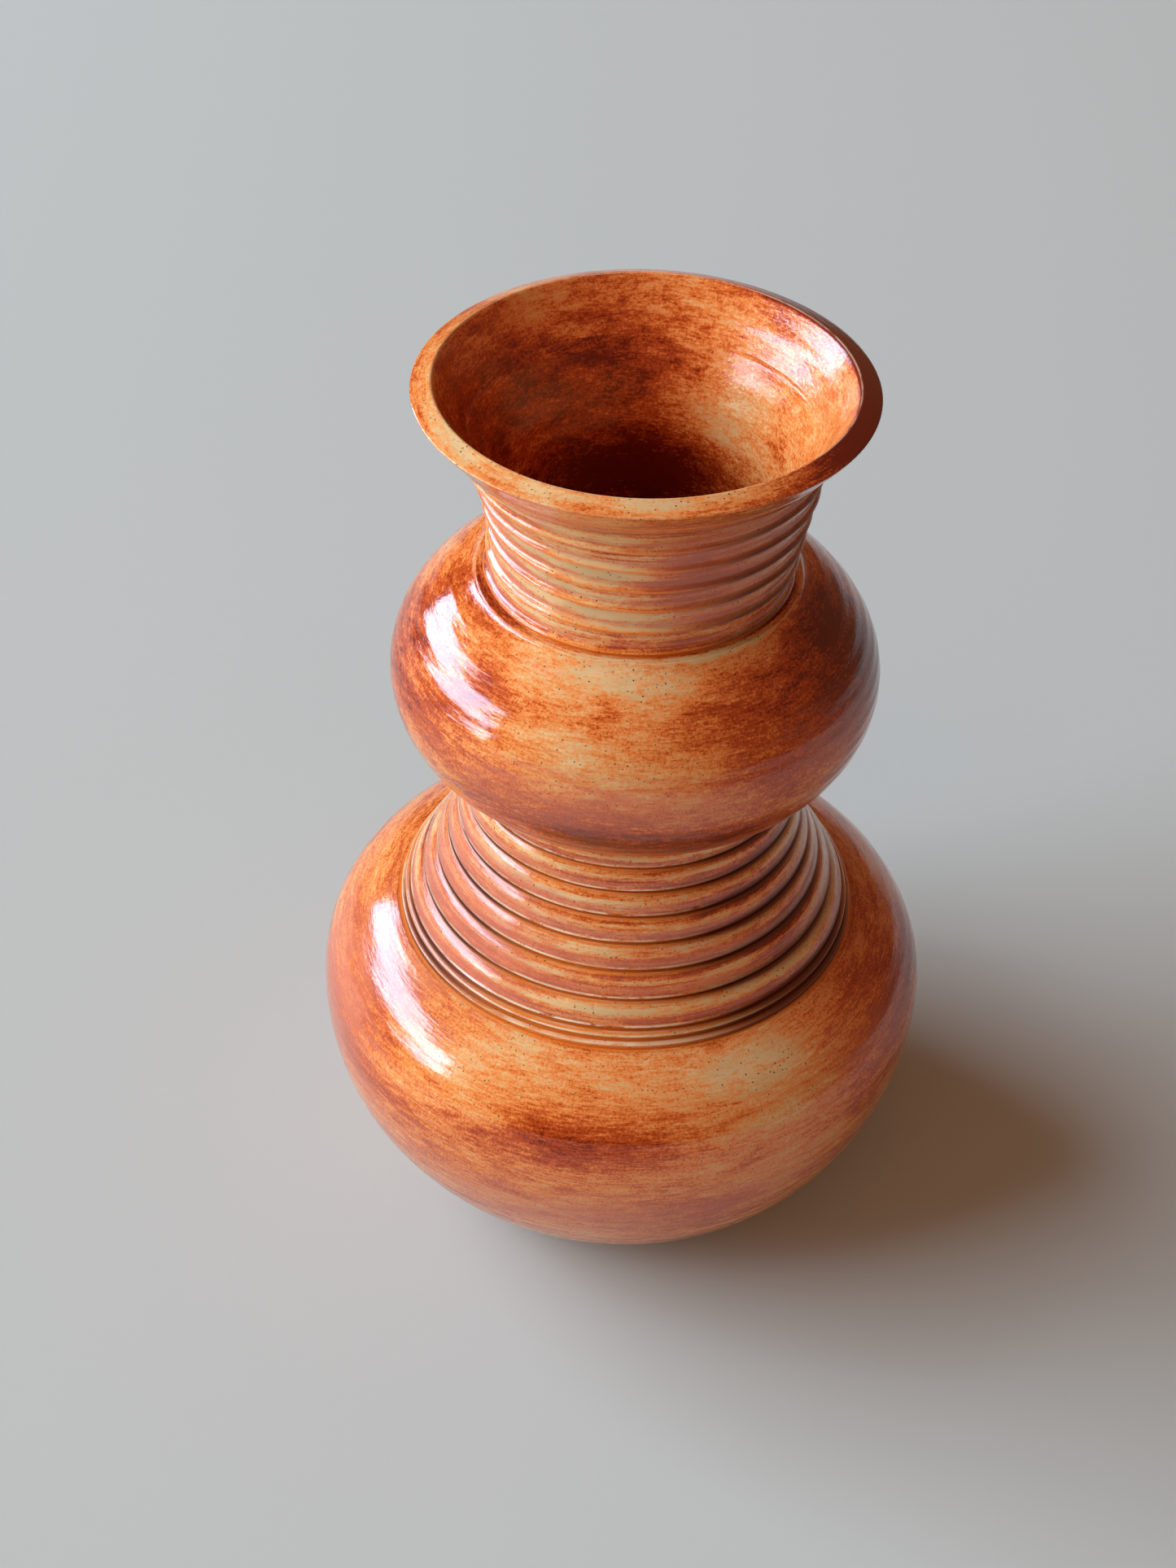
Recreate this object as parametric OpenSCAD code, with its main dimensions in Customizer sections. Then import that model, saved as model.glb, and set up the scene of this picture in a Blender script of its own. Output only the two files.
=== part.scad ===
// Stoneware vase in the form of a double gourd: a squat lower globe, a ribbed shoulder,
// an upper bulb, a ribbed neck and a flared rim. It is thrown in six sections, which are
// luted together with a tongue on the lower section and a matching groove in the upper one.
// The origin is the centre of the foot, +Z is up, and all sizes are in millimetres.

/* [Clay wall] */
// Thickness of the thrown wall
wall = 4.6; // [4:0.1:5]
// Thickness of the floor inside the foot ring
floor_t = 5; // [4:0.5:7]

/* [Foot ring] */
// Outer radius of the foot ring where it stands
foot_r = 36; // [34:0.5:38]
// Width of the foot ring
foot_w = 7; // [6:0.5:9]
// Height of the foot ring
foot_h = 4; // [3:0.5:5]

/* [Lower globe] */
// Widest radius of the globe
globe_r = 66.2; // [64:0.1:70]
// Height of the widest line of the globe
globe_z = 49.5; // [48:0.5:51]
// Half height of the globe's ellipse below its widest line
globe_drop = 59.5; // [58:0.5:62]
// Half height of the globe's squarer ellipse above its widest line
globe_rise = 30; // [29:0.5:31]

/* [Ribbed shoulder] */
// Height of the seam between the globe and the shoulder
shoulder_z = 71.8; // [71.5:0.1:72]
// Radius of the shoulder at its outer ridge
shoulder_r = 49.6; // [49:0.1:50]
// Height of the seam at the waist
waist_z = 111.5; // [111:0.1:112]
// Radius of the waist
waist_r = 33.2; // [32.8:0.1:33.6]
// Height of the lowest groove between the wide bands
band_z = 80.3; // [80:0.1:80.8]
// Height of one wide band
band_pitch = 5.35; // [5.1:0.05:5.4]
// Depth of the grooves between the wide bands
band_depth = 1.1; // [0.5:0.1:1.4]

/* [Upper bulb] */
// Widest radius of the bulb
bulb_r = 49.1; // [48.5:0.1:50]
// Height of the widest line of the bulb
bulb_z = 135; // [134.5:0.1:135.5]
// Half height of the bulb's ellipse above its widest line
bulb_rise = 30; // [29.5:0.1:30.5]
// Half height of the bulb's ellipse below its widest line
bulb_drop = 31; // [30.5:0.1:31.5]

/* [Ribbed neck] */
// Height of the seam at the root of the neck
neck_z = 158; // [157.5:0.1:158.2]
// Radius of the neck in its lowest groove
neck_r = 29.9; // [29.8:0.1:31]
// Height of one neck rib
rib_pitch = 5.1; // [4.9:0.05:5.2]
// Number of ribs between the root of the neck and the seam under the rim
rib_count = 6; // [5:1:6]
// Depth of the grooves between the neck ribs
rib_depth = 1; // [0.4:0.1:1.2]
// Radius of the straight throat inside the neck
throat_r = 25.8; // [24:0.1:26]
// Length of the straight throat above the root of the neck
throat_len = 10; // [9:0.5:12]

/* [Flared rim] */
// Height of the whole vase
height = 200; // [199:0.5:202]
// Outer radius of the lip
rim_r = 43.5; // [43:0.1:45]
// Width of the lip's sloping band
lip_w = 4.1; // [3.8:0.1:4.4]
// How far the lip slopes down from its inner crest to its outer edge
lip_drop = 1.6; // [1:0.1:2]

/* [Hidden] */
$fn = 96;

// Colours of the fired clay and the glaze
bare_clay = "#a5805c";
rust_glaze = "#b8602c";
orange_glaze = "#c87038";
tan_glaze = "#c08a58";

// Spacing of the points on the smooth curves, and on the ribs
curve_step = 1.5;
points_per_rib = 12;

// Luted joint: a tongue that stands up from the lower section
tongue_w = 1.6;
tongue_h = 1.5;
// How far the tongue moves off the middle of the wall where the wall leans in or out
lean_shift = 0.7;

// The globe's upper half is a little squarer than an ellipse
round_power = 2;
square_power = 2.4;

// The foot ring leans out slightly, and its standing edges are softened
foot_lean = 2.2;
foot_edge = 0.8;
foot_in_taper = 1;
foot_tongue_r = foot_r - foot_w / 2;

// Where the globe turns up outside the foot ring
underside_ledge = 1.2;
underside_rise = 1.8;
globe_underside_r = foot_r + foot_lean + underside_ledge;
globe_turn_z = foot_h + underside_rise;

// Inner surfaces of the globe and the bulb; the globe's wall is thicker towards its foot and seam
foot_thickening = 0.6;
seam_thickening = 0.4 * wall;
globe_in_r = globe_r - wall;
globe_in_drop = globe_drop - wall - foot_thickening;
globe_in_rise = globe_rise - wall - seam_thickening;
floor_z = foot_h + floor_t;
bulb_in_r = bulb_r - wall;
bulb_in_rise = bulb_rise - wall;
bulb_in_drop = bulb_drop - wall;

// Inner radii at the seams
shoulder_seam_w = 5.4;
shoulder_in_r = shoulder_r - shoulder_seam_w;
waist_in_r = waist_r - wall;

// The shoulder sweeps in from its outer ridge to the waist along a power curve
shoulder_power = 1.68;
band_squareness = 0.4;
waist_fillet = 1.2;

// The outer ridge stands over the globe, with a channel between it and the lowest band
ridge_h = 1.9;
ridge_proud = 0.5;
ridge_undercut = 0.1;
ridge_low_edge = 0.6;
ridge_high_edge = 0.5;
ridge_lean = 0.4;
channel_h = 2.7;
channel_depth = 1;
channel_low_wall = 0.3;
channel_high_wall = 0.5;

// The neck flares to the lip along a power curve, and its inside flares above the throat
flare_power = 2.5;
funnel_power = 1.7;
rib_squareness = 0.7;
root_fillet = 1.4;
root_step = 0.3;
root_step_z = neck_z + 0.6 * root_fillet;
throat_top_z = neck_z + throat_len;
ribs_start_z = neck_z + root_fillet;
rim_z = ribs_start_z + rib_count * rib_pitch;
lip_edge_z = height - lip_drop;
lip_round = 0.5;
crest_r = rim_r - lip_w;

// A value from 0 to 1 as z goes from z0 to z1
function part_way(z, z0, z1) = (z - z0) / (z1 - z0);

// Heights from z0 to z1, both included, about step apart
function heights(z0, z1, step) =
    let (n = ceil(abs(z1 - z0) / step))
    [for (i = [0 : n]) z0 + (z1 - z0) * i / n];

// Heights between z0 and z1 that fall in the same places on every rib, its grooves included
function rib_heights(z0, z1, groove_z, pitch) =
    let (step = pitch / points_per_rib)
    [for (i = [ceil((z0 - groove_z) / step) : floor((z1 - groove_z) / step)]) groove_z + i * step];

// Radius at a height on a closed curve of widest radius a and half height b
function round_r(a, b, mid_z, power, z) =
    a * pow(max(0, 1 - pow(abs(z - mid_z) / b, power)), 1 / power);

// Height above the middle at which that curve has radius r
function round_h(a, b, power, r) = b * pow(1 - pow(r / a, power), 1 / power);

// Bulge of a rib, from 0 in the groove to 1 on the crest; a small power makes it flat-topped
function rib(z, groove_z, pitch, power) = pow(abs(sin(180 * (z - groove_z) / pitch)), power);

// Radii of the outer and inner surfaces at a height
function globe_out(z) =
    z < globe_z ? round_r(globe_r, globe_drop, globe_z, round_power, z)
                : round_r(globe_r, globe_rise, globe_z, square_power, z);
function globe_in(z) =
    z < globe_z ? round_r(globe_in_r, globe_in_drop, globe_z, round_power, z)
                : round_r(globe_in_r, globe_in_rise, globe_z, square_power, z);
function shoulder_sweep(r_top, r_base, z) =
    r_top + (r_base - r_top) * pow(part_way(z, waist_z, shoulder_z), shoulder_power);
function shoulder_band(z) =
    shoulder_sweep(waist_r, shoulder_r, z) - band_depth / 2
    + band_depth * rib(z, band_z, band_pitch, band_squareness);
function bulb_out(z) = round_r(bulb_r, z < bulb_z ? bulb_drop : bulb_rise, bulb_z, round_power, z);
function bulb_in(z) =
    round_r(bulb_in_r, z < bulb_z ? bulb_in_drop : bulb_in_rise, bulb_z, round_power, z);
function neck_flare(z) =
    neck_r + (rim_r - neck_r) * pow(max(0, part_way(z, ribs_start_z, lip_edge_z)), flare_power);
function neck_rib(z) = neck_flare(z) + rib_depth * rib(z, ribs_start_z, rib_pitch, rib_squareness);
function funnel(z) =
    throat_r + (crest_r - throat_r) * pow(max(0, part_way(z, throat_top_z, height)), funnel_power);

// Corners [radius, height] of a seam's tongue, from its outer foot to its inner foot
function tongue(r, z, h) =
    [[r + tongue_w / 2, z], [r + tongue_w / 2, z + h], [r - tongue_w / 2, z + h], [r - tongue_w / 2, z]];
function reversed(list) = [for (i = [len(list) - 1 : -1 : 0]) list[i]];

// The tongue of each seam stands in the wall's middle, or nearer the way that the wall leans
globe_tongue = tongue((shoulder_r + shoulder_in_r) / 2 - lean_shift, shoulder_z, tongue_h);
waist_tongue = tongue((waist_r + waist_in_r) / 2, waist_z, tongue_h);
neck_tongue = tongue((neck_r + throat_r) / 2, neck_z, tongue_h);
rim_tongue = tongue((neck_flare(rim_z) + funnel(rim_z)) / 2 + lean_shift, rim_z, tongue_h);
foot_tongue = tongue(foot_tongue_r, foot_h, tongue_h);

// Where the smooth curves of one section meet the wall of the next
bulb_in_low_z = bulb_z - round_h(bulb_in_r, bulb_in_drop, round_power, waist_in_r);
bulb_in_top_z = bulb_z + round_h(bulb_in_r, bulb_in_rise, round_power, throat_r);
bulb_low_z = bulb_z - round_h(bulb_r, bulb_drop, round_power, waist_r + waist_fillet);
globe_in_top_z = globe_z + round_h(globe_in_r, globe_in_rise, square_power, shoulder_in_r);

module foot_ring()
{
    color(bare_clay)
    rotate_extrude()
    polygon(concat(
        [[foot_r - foot_edge, 0], [foot_r, foot_edge], [foot_r + foot_lean, foot_h]],
        foot_tongue,
        [[foot_r - foot_w - foot_in_taper, foot_h], [foot_r - foot_w, foot_edge]],
        [[foot_r - foot_w + foot_edge, 0]]));
}

module lower_globe()
{
    outer = [for (z = heights(globe_turn_z, shoulder_z, curve_step)) [globe_out(z), z]];
    inner = [for (z = heights(globe_in_top_z, floor_z, curve_step)) [globe_in(z), z]];
    color(orange_glaze)
    rotate_extrude()
    polygon(concat(
        [[0, foot_h], [foot_tongue[3][0], foot_h]],
        [foot_tongue[2], foot_tongue[1], foot_tongue[0]],
        [[globe_underside_r, foot_h]],
        outer,
        [[shoulder_r - ridge_undercut, shoulder_z]],
        globe_tongue,
        [[shoulder_in_r, shoulder_z]],
        inner,
        [[0, floor_z]]));
}

module ribbed_shoulder()
{
    ridge_z = shoulder_z + ridge_h;
    first_band_z = ridge_z + channel_h;
    ridge = [
        [shoulder_r - ridge_undercut, shoulder_z],
        [shoulder_r + ridge_proud, shoulder_z + ridge_low_edge],
        [shoulder_r + ridge_proud - ridge_lean, ridge_z - ridge_high_edge],
        [shoulder_sweep(waist_r, shoulder_r, ridge_z) - channel_depth, ridge_z + channel_low_wall],
        [shoulder_sweep(waist_r, shoulder_r, first_band_z) - channel_depth,
            first_band_z - channel_high_wall]];
    bands = [for (z = rib_heights(first_band_z, waist_z, band_z, band_pitch)) [shoulder_band(z), z]];
    inner = [for (z = heights(waist_z, shoulder_z, curve_step))
        [shoulder_sweep(waist_in_r, shoulder_in_r, z), z]];
    color(rust_glaze)
    rotate_extrude()
    polygon(concat(
        ridge,
        bands,
        [[shoulder_band(waist_z), waist_z]],
        waist_tongue,
        inner,
        reversed(globe_tongue)));
}

module upper_bulb()
{
    outer = [for (z = heights(bulb_low_z, neck_z, curve_step)) [bulb_out(z), z]];
    inner = [for (z = heights(bulb_in_top_z, bulb_in_low_z, curve_step)) [bulb_in(z), z]];
    color(orange_glaze)
    rotate_extrude()
    polygon(concat(
        [[shoulder_band(waist_z), waist_z]],
        outer,
        neck_tongue,
        [[throat_r, neck_z]],
        inner,
        [[waist_in_r, waist_z]],
        reversed(waist_tongue)));
}

module ribbed_neck()
{
    root = [[bulb_out(neck_z), neck_z], [neck_r + root_step, root_step_z]];
    ribs = [for (i = [0 : rib_count * points_per_rib])
        let (z = ribs_start_z + i * rib_pitch / points_per_rib) [neck_rib(z), z]];
    inner = [for (z = heights(rim_z, throat_top_z, curve_step)) [funnel(z), z]];
    color(tan_glaze)
    rotate_extrude()
    polygon(concat(root, ribs, rim_tongue, inner, [[throat_r, neck_z]], reversed(neck_tongue)));
}

module flared_rim()
{
    lip = [
        [rim_r, lip_edge_z],
        [rim_r - lip_round, lip_edge_z + lip_round],
        [crest_r + lip_round, height],
        [crest_r, height - lip_round]];
    outer = [for (z = heights(rim_z, lip_edge_z - curve_step, curve_step)) [neck_flare(z), z]];
    inner = [for (z = heights(height - curve_step, rim_z, curve_step)) [funnel(z), z]];
    color(rust_glaze)
    rotate_extrude()
    polygon(concat(outer, lip, inner, reversed(rim_tongue)));
}

foot_ring();
lower_globe();
ribbed_shoulder();
upper_bulb();
ribbed_neck();
flared_rim();
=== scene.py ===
"""A hand-thrown stoneware vase in the form of a double gourd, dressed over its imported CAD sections.

Shapes are worked out in millimetres, as [radius, height] outlines that are turned round the
vase's axis, and MM turns them into metres when a mesh is made.
"""

import math

import bmesh
import bpy
import numpy as np
from mathutils import Matrix, Vector


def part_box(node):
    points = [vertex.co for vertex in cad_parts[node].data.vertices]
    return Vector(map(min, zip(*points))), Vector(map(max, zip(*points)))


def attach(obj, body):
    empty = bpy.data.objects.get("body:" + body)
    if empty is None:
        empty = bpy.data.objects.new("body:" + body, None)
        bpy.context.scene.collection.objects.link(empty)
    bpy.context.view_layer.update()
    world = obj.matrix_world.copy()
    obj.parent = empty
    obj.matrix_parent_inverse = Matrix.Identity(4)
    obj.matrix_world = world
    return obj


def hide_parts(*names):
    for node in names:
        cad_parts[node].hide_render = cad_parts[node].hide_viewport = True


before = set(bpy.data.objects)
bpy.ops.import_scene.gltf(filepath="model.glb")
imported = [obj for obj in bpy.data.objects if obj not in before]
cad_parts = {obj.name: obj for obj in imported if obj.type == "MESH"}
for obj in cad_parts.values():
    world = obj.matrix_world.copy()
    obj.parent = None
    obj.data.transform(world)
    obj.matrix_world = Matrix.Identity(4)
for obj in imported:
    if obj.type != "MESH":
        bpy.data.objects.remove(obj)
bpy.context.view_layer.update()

MM = 0.001
NEAR = 1e-6


# ---------------------------------------------------------------- sizes, from the CAD sections

def low(node):
    """Height of a section's lowest point, which is the seam under it."""
    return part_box(node)[0].z / MM


def widest(node):
    """Widest radius of a section."""
    lowest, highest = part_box(node)
    return max(highest.x - lowest.x, highest.y - lowest.y) / 2 / MM


FOOT_TOP = low("lower_globe")
SHOULDER_Z = low("ribbed_shoulder")
WAIST_Z = low("upper_bulb")
NECK_Z = low("ribbed_neck")
RIM_Z = low("flared_rim")
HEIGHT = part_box("flared_rim")[1].z / MM
GLOBE_R = widest("lower_globe")
BULB_R = widest("upper_bulb")
RIM_R = widest("flared_rim")

# The thrown wall, and the tongues in its seams
WALL = 4.6
TONGUE_W = 1.6
TONGUE_H = 1.5
TONGUE_SHIFT = 0.7

# Foot ring and the floor of the pot
FOOT_R = 36.0
FOOT_W = 7.0
FOOT_LEAN = 2.2
FOOT_EDGE = 0.8
FLOOR_Z = FOOT_TOP + 5.0

# Lower globe: an ellipse below its widest line, a squarer one above
GLOBE_Z = 49.5
GLOBE_DROP = 59.5
GLOBE_RISE = 30.0
GLOBE_IN_DROP = GLOBE_DROP - WALL - 0.6
GLOBE_IN_RISE = GLOBE_RISE - 1.4 * WALL
SQUARE = 2.4

# Ribbed shoulder: it sweeps in from an outer ridge to the waist, with wide bands
SHOULDER_R = 49.6
SHOULDER_IN_R = SHOULDER_R - 5.4
SHOULDER_ROOT_R = SHOULDER_R - 0.8
WAIST_R = 33.2
WAIST_IN_R = WAIST_R - WALL
SWEEP = 1.68
BAND_GROOVES = [SHOULDER_Z, 73.3, 75.1, 80.3, 85.65, 91.0, 96.35, 101.7, 107.05]
BAND_GROOVE_H = 1.0

# Upper bulb: two half ellipses, and a fillet that turns up to the neck
BULB_Z = 135.0
BULB_RISE = 30.0
BULB_DROP = 31.0
FILLET_R = 32.0
FILLET_DROP = 3.0

# Ribbed neck and flared rim
NECK_R = 29.9
NECK_ROOT_R = NECK_R - 0.3
NECK_HOLLOW = 0.9
NECK_HOLLOW_Z = 187.0
NECK_HOLLOW_H = 6.0
THROAT_R = 25.8
THROAT_TOP = NECK_Z + 10.0
FLARE_Z = NECK_Z + 1.4
RIB_GROOVES = [NECK_Z + h for h in (0.3, 5.3, 10.5, 15.4, 20.7, 25.7)]
RIB_GROOVE_H = 0.7
FLARE = 2.5
FUNNEL = 1.7
LIP_W = 4.1
LIP_DROP = 1.6
LIP_EDGE_Z = HEIGHT - LIP_DROP
LIP_SLOPE = LIP_DROP / LIP_W
CREST_R = RIM_R - LIP_W


# ---------------------------------------------------------------- small helpers

def smooth(value, start, end):
    """0 before start, 1 after end, and a smooth step between."""
    t = np.clip((value - start) / (end - start), 0, 1)
    return t * t * (3 - 2 * t)


def bell(value, middle, width, power=2):
    """1 at middle, and fading out on both sides over about width."""
    return np.exp(-((value - middle) / width) ** power)


def steps(start, end, step):
    """Numbers from start to end, both included, about step apart."""
    return np.linspace(start, end, max(2, int(math.ceil(abs(end - start) / step)) + 1))


def oval(radius, half_height, mid, power, z):
    """Radius at height z of a closed curve; power 2 is an ellipse, and more is squarer."""
    inside = np.clip(1 - (np.abs(z - mid) / half_height) ** power, 0, 1)
    return radius * inside ** (1 / power)


def oval_height(radius, half_height, power, at_radius):
    """Distance from that curve's middle to where it has the radius at_radius."""
    return half_height * (1 - (at_radius / radius) ** power) ** (1 / power)


# ---------------------------------------------------------------- smooth surfaces of the wall

def globe_out(z):
    below = oval(GLOBE_R, GLOBE_DROP, GLOBE_Z, 2, z)
    above = oval(GLOBE_R, GLOBE_RISE, GLOBE_Z, SQUARE, z)
    return np.where(z < GLOBE_Z, below, above)


def globe_in(z):
    below = oval(GLOBE_R - WALL, GLOBE_IN_DROP, GLOBE_Z, 2, z)
    above = oval(GLOBE_R - WALL, GLOBE_IN_RISE, GLOBE_Z, SQUARE, z)
    return np.where(z < GLOBE_Z, below, above)


def shoulder_sweep(top_r, base_r, z):
    part = np.clip((WAIST_Z - z) / (WAIST_Z - SHOULDER_Z), 0, None)
    return top_r + (base_r - top_r) * part ** SWEEP


def shoulder_side(z):
    return shoulder_sweep(WAIST_R, SHOULDER_R, z)


def bulb_out(z):
    return oval(BULB_R, np.where(z < BULB_Z, BULB_DROP, BULB_RISE), BULB_Z, 2, z)


def bulb_in(z):
    half = np.where(z < BULB_Z, BULB_DROP - WALL, BULB_RISE - WALL)
    return oval(BULB_R - WALL, half, BULB_Z, 2, z)


def neck_flare(z):
    part = np.clip((z - FLARE_Z) / (LIP_EDGE_Z - FLARE_Z), 0, None)
    return NECK_R + (RIM_R - NECK_R) * part ** FLARE


def neck_side(z):
    """The flare as the potter left it, a little straighter under the rim."""
    return neck_flare(z) - NECK_HOLLOW * bell(z, NECK_HOLLOW_Z, NECK_HOLLOW_H)


def funnel(z):
    part = np.clip((z - THROAT_TOP) / (HEIGHT - THROAT_TOP), 0, None)
    return THROAT_R + (CREST_R - THROAT_R) * part ** FUNNEL


# Middle radius of the tongue in each seam; where the wall leans, it is shifted to stay inside
FOOT_TONGUE = FOOT_R - FOOT_W / 2
GLOBE_TONGUE = (SHOULDER_R + SHOULDER_IN_R) / 2 - TONGUE_SHIFT
WAIST_TONGUE = (WAIST_R + WAIST_IN_R) / 2
NECK_TONGUE = (NECK_R + THROAT_R) / 2
RIM_TONGUE = (neck_flare(RIM_Z) + funnel(RIM_Z)) / 2 + TONGUE_SHIFT


# ---------------------------------------------------------------- outlines
# A row is one ring of points. groove is 1 in the bottom of a groove, edge is 1 on a sharp ridge,
# where the glaze breaks pale and a highlight is painted, inside is 1 on the inner surface and in the
# seams, band is the place up a band, from 0 at its lower groove to 1 at its upper one, and
# groove_shade is 1 where shade is painted in and beside a groove.

COLUMNS = ("radius", "z", "groove", "edge", "inside", "band", "groove_shade")


def rows(radius, z, groove=0.0, edge=0.0, inside=0.0, band=0.0, groove_shade=0.0):
    z = np.atleast_1d(np.asarray(z, float))
    columns = (radius, z, groove, edge, inside, band, groove_shade)
    return np.stack([np.broadcast_to(v, z.shape) for v in columns], 1)


def column(outline, name):
    """One column of an outline, kept upright so that it spreads round the pot."""
    place = COLUMNS.index(name)
    return outline[:, place:place + 1]


def seam_edge(outline, z):
    """Radius of an outline where it first comes to the seam at height z."""
    return outline[np.argmax(column(outline, "z")[:, 0] >= z - NEAR), 0]


def joint(radius, z, up):
    """The tongue, or the groove that takes it, read from outside to inside, or back if not up."""
    half = TONGUE_W / 2
    path = [(radius + half, z), (radius + half, z + TONGUE_H),
            (radius - half, z + TONGUE_H), (radius - half, z)]
    path = path if up else path[::-1]
    return np.concatenate([rows(r, h, inside=1.0) for r, h in path])


# The height between a band's rows, and of two more by its lip
BAND_STEP = 0.3
LIP_STEPS = np.array([0.08, 0.18])
# How far the pale lip, painted as worn glaze and as a highlight, the pale break at a band's top and
# the pool under it reach
PALE_LIP_H = 0.42
TOP_EDGE_H = 0.15
POOL_H = 0.9


def band_outline(base, start_r, grooves, top_z, groove_h, cut, dip, shape, pale_lip, shade_w):
    """Bands one above another. Each starts at a sharp lip over an open groove, which is cut by
    cut and dips under the edge of the band below. How proud of base a band stands is
    shape(up, down), from the heights above its lip and below its upper groove. The lip is painted
    pale, as glaze worn thin and as a painted highlight, where pale_lip is 1, and the glaze pools
    on it where pale_lip is 0. Painted shade reaches about shade_w past the lip and the upper
    groove."""
    parts = []
    edge_r = None
    for groove_z, next_z in zip(grooves, grooves[1:] + [top_z]):
        z = steps(groove_z + groove_h, next_z, BAND_STEP)
        z = np.concatenate([z[:1], z[0] + LIP_STEPS, z[1:]])
        up, down = z - z[0], next_z - z
        face = base(z) + shape(up, down)

        # The groove, from its floor out to just under the lip, as (radius, height, groove)
        floor_r = start_r if edge_r is None else edge_r - cut
        trench = [(floor_r, groove_z + 0.3 * groove_h, 1.0),
                  (face[0] - 0.35 * (face[0] - floor_r), groove_z + 0.75 * groove_h, 0.8),
                  (face[0] - 0.08, groove_z + 0.95 * groove_h, 0.3)]
        if edge_r is None:
            trench.insert(0, (floor_r, groove_z, 1.0))
        else:
            trench = [(edge_r - 0.35 * cut, groove_z - 0.55 * dip, 0.7),
                      (edge_r - 0.75 * cut, groove_z - dip, 1.0),
                      (floor_r, groove_z - 0.6 * dip, 1.0)] + trench
        parts += [rows(r, h, groove=depth, groove_shade=1.0) for r, h, depth in trench]

        # The lip painted pale, as worn glaze and as a highlight, the pool on it, and painted shade by
        # the grooves
        lip = bell(up, 0, PALE_LIP_H)
        edge = pale_lip * lip + 0.6 * bell(down, 0, TOP_EDGE_H)
        groove = 0.8 * np.maximum(smooth(down, POOL_H, 0.0), (1 - pale_lip) * lip)
        groove_shade = np.maximum(0.85 * bell(up, 0, shade_w), bell(down, 0, 0.8 * shade_w))
        parts.append(rows(face, z, groove, np.minimum(edge, 1),
                          band=(z - groove_z) / (next_z - groove_z), groove_shade=groove_shade))
        edge_r = float(face[-1])
    return np.concatenate(parts)


def swelled(up, down):
    """A rounded band of the shoulder: a raised lip, a swell, and a fall to the upper groove."""
    return (0.15 * np.exp(-up / 0.35) + 0.30 * np.sin(math.pi * up / (up + down))
            - 0.30 * np.clip(1.3 - down, 0, None) ** 1.5)


def ribbed(up, down):
    """A rib of the neck, with a steep shelf over its lip that catches the window."""
    return (0.25 + 0.2 * np.exp(-up / 0.3) - 0.75 * smooth(up, 0.3, 1.05)
            - 0.15 * np.clip(0.8 - down, 0, None) ** 1.6)


def foot_outline():
    inner_r = FOOT_R - FOOT_W
    outer = [(FOOT_R - FOOT_EDGE, 0), (FOOT_R - 0.25, 0.25), (FOOT_R, FOOT_EDGE)]
    outer += [(FOOT_R + FOOT_LEAN * (z / FOOT_TOP) ** 1.3, z) for z in (1.6, 2.4, 3.2, FOOT_TOP)]
    inner = [(inner_r - 1, FOOT_TOP), (inner_r - 0.3, 2), (inner_r, FOOT_EDGE),
             (inner_r + 0.25, 0.25), (inner_r + FOOT_EDGE, 0)]
    outer, inner = (np.concatenate([rows(r, z) for r, z in side]) for side in (outer, inner))
    return np.concatenate([outer, joint(FOOT_TONGUE, FOOT_TOP, True), inner])


def globe_outline():
    root_z = SHOULDER_Z - 0.8
    under = [rows(r, FOOT_TOP, inside=1.0) for r in (0.0, 8.0, 16.0, 24.0)]
    ledge = [rows(FOOT_R + FOOT_LEAN, FOOT_TOP), rows(FOOT_R + 3.4, FOOT_TOP),
             rows(FOOT_R + 5.6, FOOT_TOP + 0.5)]
    side = steps(FOOT_TOP + 1.8, SHOULDER_Z - 0.9, 0.75)
    close = steps(root_z, SHOULDER_Z, 0.15)
    root = [rows(globe_out(close) - 0.25 * smooth(close, root_z, SHOULDER_Z), close,
                 groove=0.3 * smooth(close, SHOULDER_Z - 0.4, SHOULDER_Z)),
            rows(SHOULDER_R + 0.2, SHOULDER_Z, groove=0.3),
            rows(SHOULDER_R - 1.0, SHOULDER_Z, groove=1.0)]
    top_in = GLOBE_Z + oval_height(GLOBE_R - WALL, GLOBE_IN_RISE, SQUARE, SHOULDER_IN_R)
    down = steps(top_in, FLOOR_Z, 1.4)
    floor_r = float(globe_in(np.array(FLOOR_Z)))
    floor = [rows(floor_r * part, FLOOR_Z, inside=1.0) for part in (0.75, 0.5, 0.25, 0.0)]
    return np.concatenate(
        under + [joint(FOOT_TONGUE, FOOT_TOP, False)] + ledge + [rows(globe_out(side), side)]
        + root + [joint(GLOBE_TONGUE, SHOULDER_Z, True),
                  rows(SHOULDER_IN_R, SHOULDER_Z, inside=1.0),
                  rows(globe_in(down), down, inside=1.0)] + floor)


def shoulder_outline():
    bands = band_outline(shoulder_side, SHOULDER_ROOT_R, BAND_GROOVES, WAIST_Z, BAND_GROOVE_H,
                         cut=0.6, dip=0.08, shape=swelled, pale_lip=1.0, shade_w=0.95)
    down = steps(WAIST_Z, SHOULDER_Z, 1.4)
    inner = rows(shoulder_sweep(WAIST_IN_R, SHOULDER_IN_R, down), down, inside=1.0)
    return np.concatenate([bands, rows(bands[-1, 0], WAIST_Z, groove=1.0),
                           joint(WAIST_TONGUE, WAIST_Z, True), inner,
                           joint(GLOBE_TONGUE, SHOULDER_Z, False)])


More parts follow.
